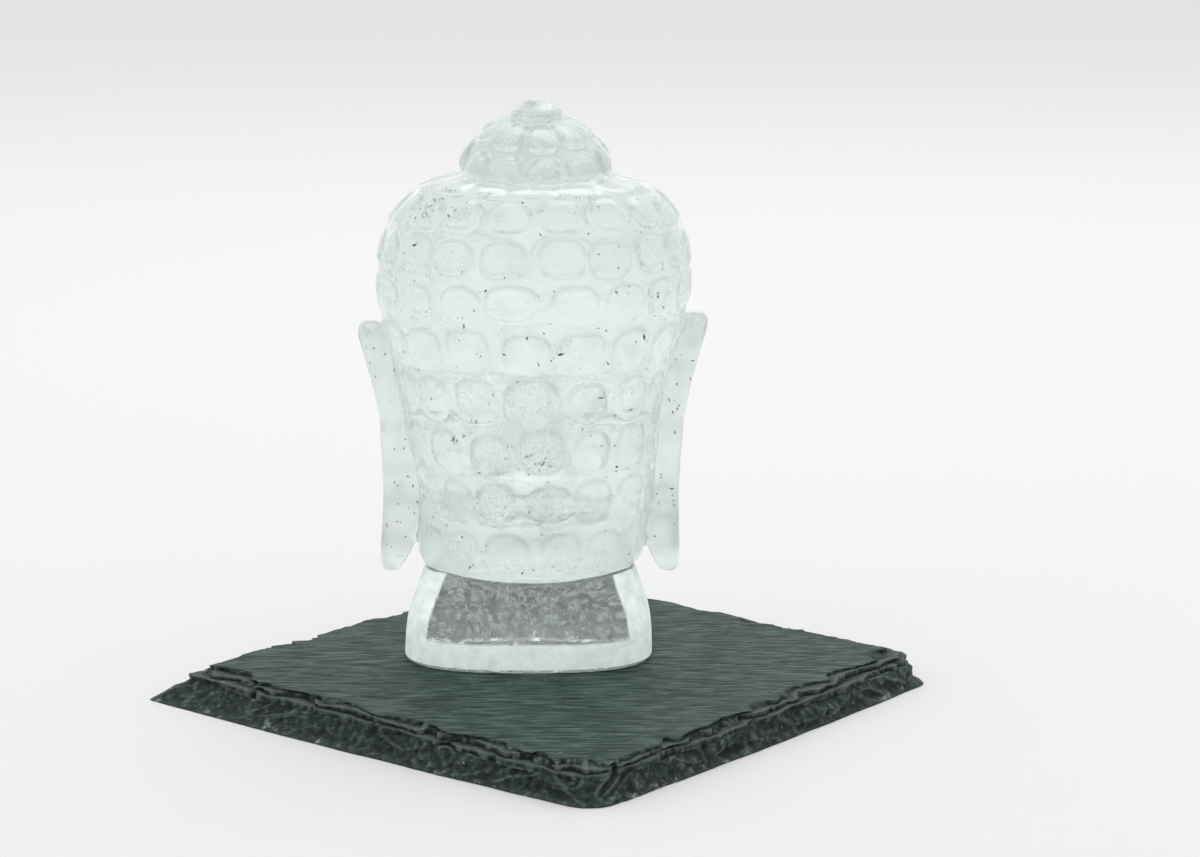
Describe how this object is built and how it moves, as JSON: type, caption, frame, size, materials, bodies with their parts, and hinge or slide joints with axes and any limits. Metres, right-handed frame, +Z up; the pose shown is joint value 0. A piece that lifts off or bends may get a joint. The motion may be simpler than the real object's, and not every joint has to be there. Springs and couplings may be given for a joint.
{
  "type": "crystal buddha head on a slate base",
  "caption": "Rock crystal buddha head with rows of curls, a topknot and long ears, standing on a chipped square of dark slate.",
  "frame": {"origin": "on the slate's flat underside, at its middle", "axes": "+Z up out of the slate; the head's face looks along -Y and the back of the head along +Y"},
  "size_m": [0.1394, 0.1349, 0.1065],
  "materials": {
    "rock_crystal": "polished clear quartz with fine veils, frosted carving and dark specks",
    "slate": "matt riven slate with fine striations and flaked, darker broken edges"
  },
  "bodies": {
    "root": {"crystal_head": "rock_crystal", "slate_base": "slate"}
  },
  "joints": []
}
